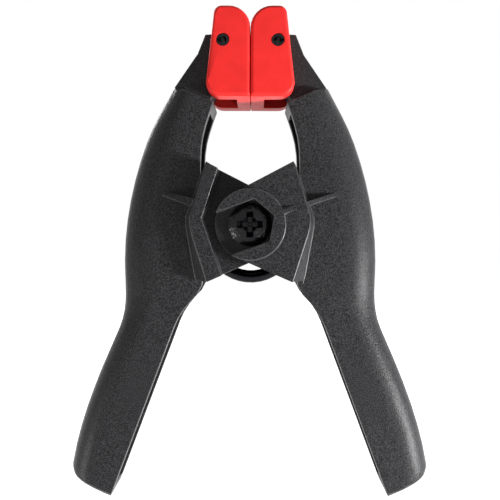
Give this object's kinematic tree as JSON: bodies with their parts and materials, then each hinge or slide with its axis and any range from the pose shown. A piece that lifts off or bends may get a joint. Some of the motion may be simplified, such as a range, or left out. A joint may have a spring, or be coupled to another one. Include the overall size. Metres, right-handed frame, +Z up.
{
  "type": "spring clamp",
  "caption": "Hand spring clamp with hollow crossing arms on a screw pivot, a torsion spring between them and swivelling pads on the jaw tips.",
  "frame": {"origin": "on the ground midway between the handle tips, in the clamp's middle plane", "axes": "+Z up from the handle tips to the jaws, +X across the clamp to the arm whose lug carries the screw's head, -Y the front with the screw's head"},
  "size_m": [0.1126, 0.0284, 0.1504],
  "materials": {
    "black_nylon": "fine spark-eroded grain",
    "red_plastic": "satin",
    "dark_steel": "oiled",
    "black_steel": "glossy black oxide",
    "spring_steel": "drawn wire"
  },
  "bodies": {
    "arm_right": {"arm_right": "black_nylon", "pad_pin_right": "dark_steel", "torsion_spring": "spring_steel"},
    "arm_left": {"arm_left": "black_nylon", "pad_pin_left": "dark_steel", "pivot_screw": "black_steel", "pivot_nut": "dark_steel"},
    "pad_right": {"jaw_pad_right": "red_plastic"},
    "pad_left": {"jaw_pad_left": "red_plastic"}
  },
  "joints": [
    {"name": "jaw_open", "type": "hinge", "parent": "arm_right", "child": "arm_left", "pos_m": [0, 0, 0.0841], "axis": [0, -1, 0], "range_deg": [0, 50], "stiffness_Nm_per_rad": 1.2, "springref_deg": -57.3, "deforming": ["torsion_spring"]},
    {"name": "pad_right_swivel", "type": "hinge", "parent": "arm_right", "child": "pad_right", "pos_m": [0.00835, 0, 0.1399], "axis": [0, -1, 0], "range_deg": [0, 25]},
    {"name": "pad_left_swivel", "type": "hinge", "parent": "arm_left", "child": "pad_left", "pos_m": [-0.00835, 0, 0.1399], "axis": [0, -1, 0], "range_deg": [-25, 0]}
  ],
  "couplings": [
    {"joint": "pad_right_swivel", "follows": "jaw_open", "ratio": 0.5},
    {"joint": "pad_left_swivel", "follows": "jaw_open", "ratio": -0.5}
  ]
}
